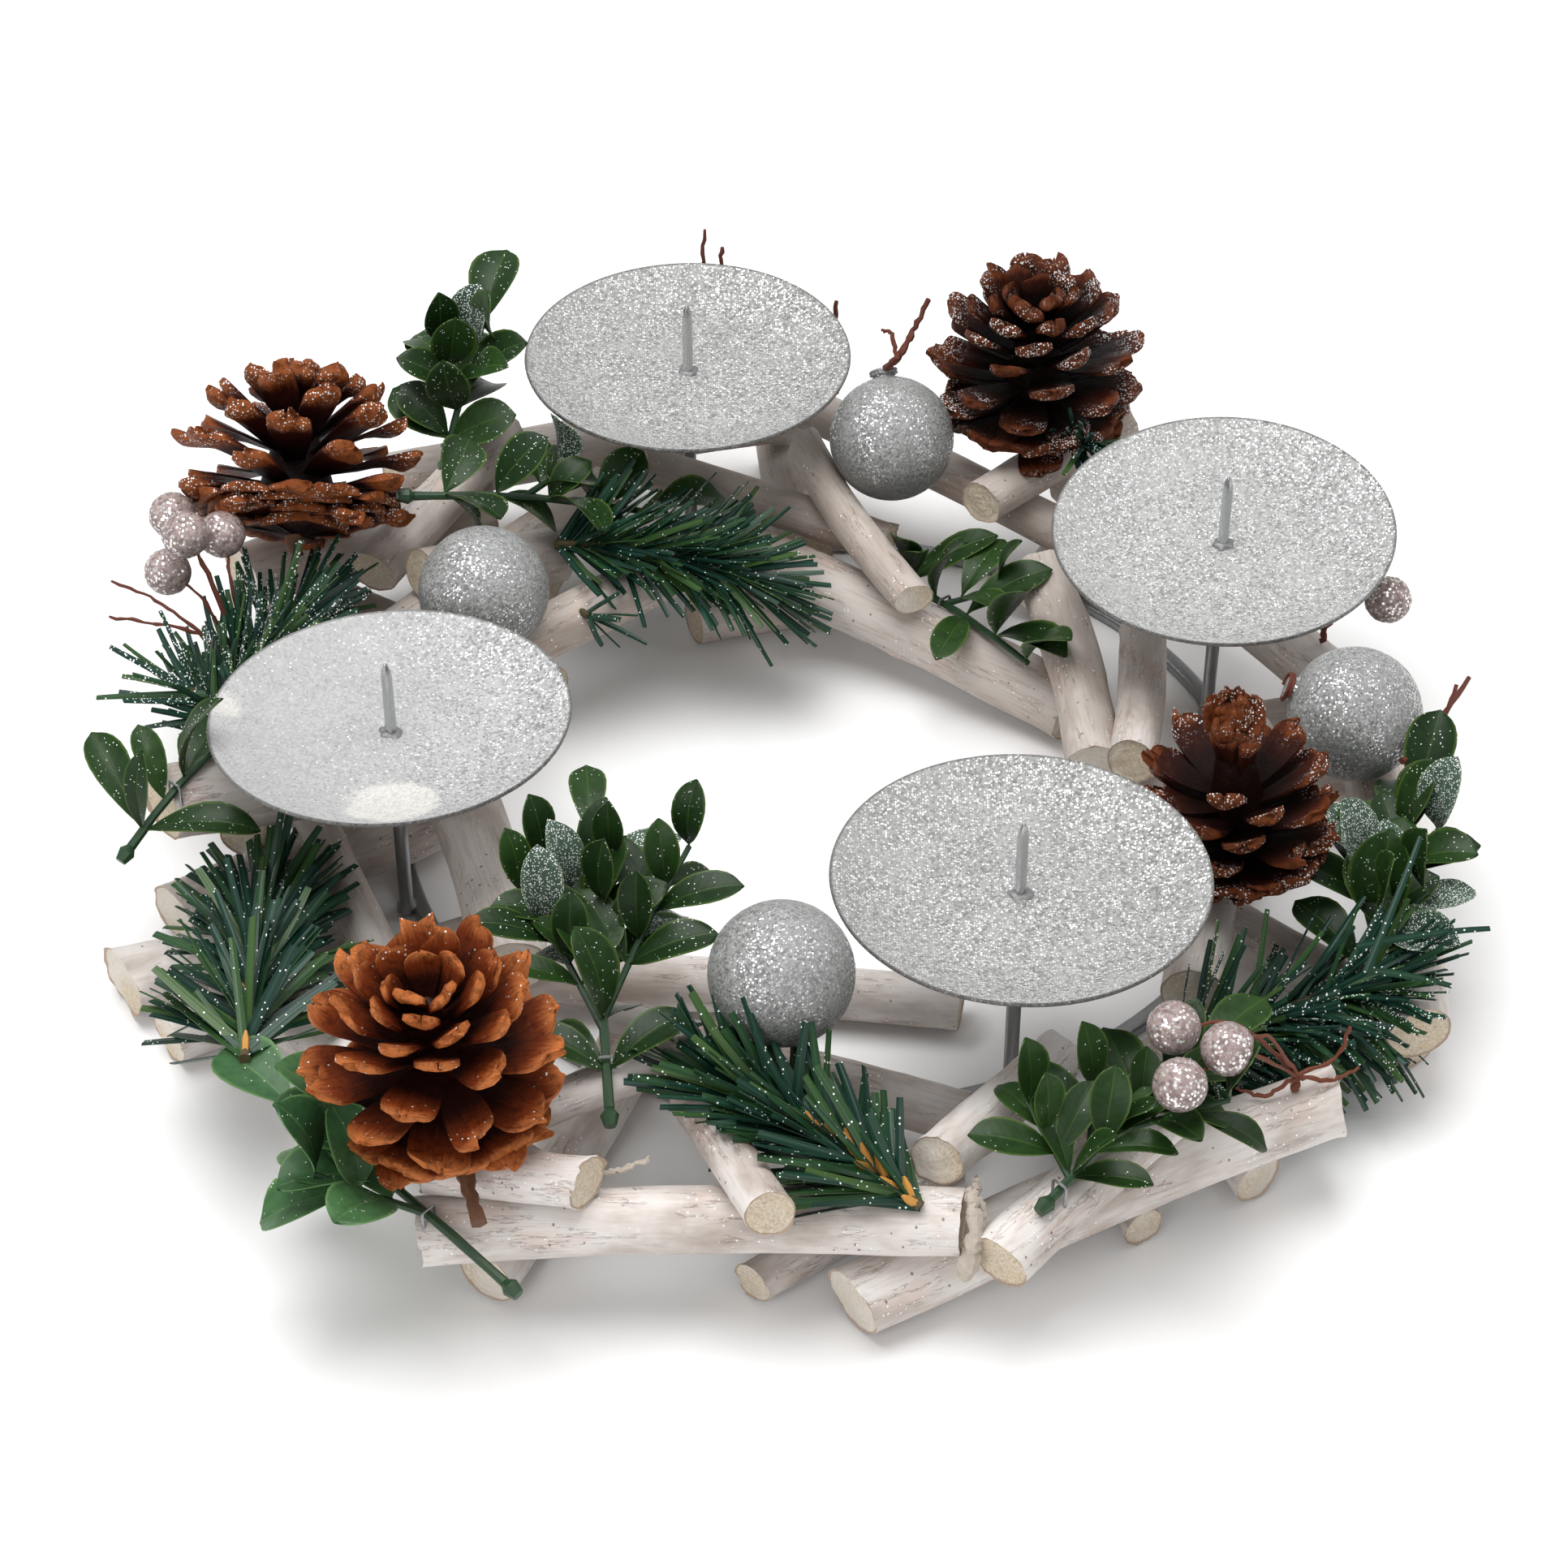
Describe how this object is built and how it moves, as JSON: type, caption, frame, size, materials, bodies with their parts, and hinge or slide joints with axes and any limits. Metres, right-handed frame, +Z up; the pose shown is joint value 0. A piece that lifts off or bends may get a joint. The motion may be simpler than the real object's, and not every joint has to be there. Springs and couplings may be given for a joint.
{
  "type": "advent wreath",
  "caption": "Round table wreath of white-washed birch sticks on a steel ring, with raised spiked candle dishes, pine cones, glitter balls, boxwood and fir sprays and berry picks.",
  "frame": {"origin": "middle of the wreath's outline in plan, on the surface that it lies on", "axes": "+Z up; -Y towards the viewer of the picture; +X to the picture's right"},
  "size_m": [0.3048, 0.315, 0.0872],
  "materials": {
    "steel": "dull bare steel",
    "bark": "birch bark and cut ends under a thin white wash",
    "silver": "pale silver lacquer with fine glitter",
    "glitter": "silver glitter over the whole ball",
    "cone": "natural pine cone, matt, with a little frost on the tips",
    "boxwood": "satin artificial leaves with a pale midrib",
    "fir": "satin artificial needles",
    "berry": "pale pink berries under glitter, on brown wires"
  },
  "bodies": {
    "root": {"ball_back": "glitter", "ball_front": "glitter", "ball_left": "glitter", "ball_right": "glitter", "berries_front_right": "berry", "berries_left": "berry", "boxwood_back_left": "boxwood", "boxwood_back_right": "boxwood", "boxwood_front_left": "boxwood", "boxwood_front_left_outer": "boxwood", "boxwood_front_right": "boxwood", "boxwood_left": "boxwood", "boxwood_left_back": "boxwood", "boxwood_right": "boxwood", "cone_back_right": "cone", "cone_front_left": "cone", "cone_left_back": "cone", "cone_right": "cone", "dish_back_left": "silver", "dish_back_right": "silver", "dish_front_right": "silver", "dish_left": "silver", "fir_back_left": "fir", "fir_front": "fir", "fir_front_left": "fir", "fir_left": "fir", "fir_right": "fir", "frame": "steel", "log_back_inner_low": "bark", "log_back_left_inner": "bark", "log_back_left_inner_top": "bark", "log_back_left_top": "bark", "log_back_mid": "bark", "log_back_outer": "bark", "log_back_right_inner": "bark", "log_front_branch": "bark", "log_front_inner": "bark", "log_front_left_short": "bark", "log_front_left_top": "bark", "log_front_outer": "bark", "log_front_right_outer": "bark", "log_front_right_stub": "bark", "log_front_right_top": "bark", "log_front_stub": "bark", "log_front_top": "bark", "log_left_back_outer": "bark", "log_left_front_stub": "bark", "log_left_inner": "bark", "log_left_low": "bark", "log_left_mid": "bark", "log_left_outer": "bark", "log_left_outer_top": "bark", "log_left_top": "bark", "log_right_back_outer": "bark", "log_right_inner": "bark", "log_right_mid": "bark", "log_right_outer": "bark", "log_right_stub": "bark"}
  },
  "joints": []
}
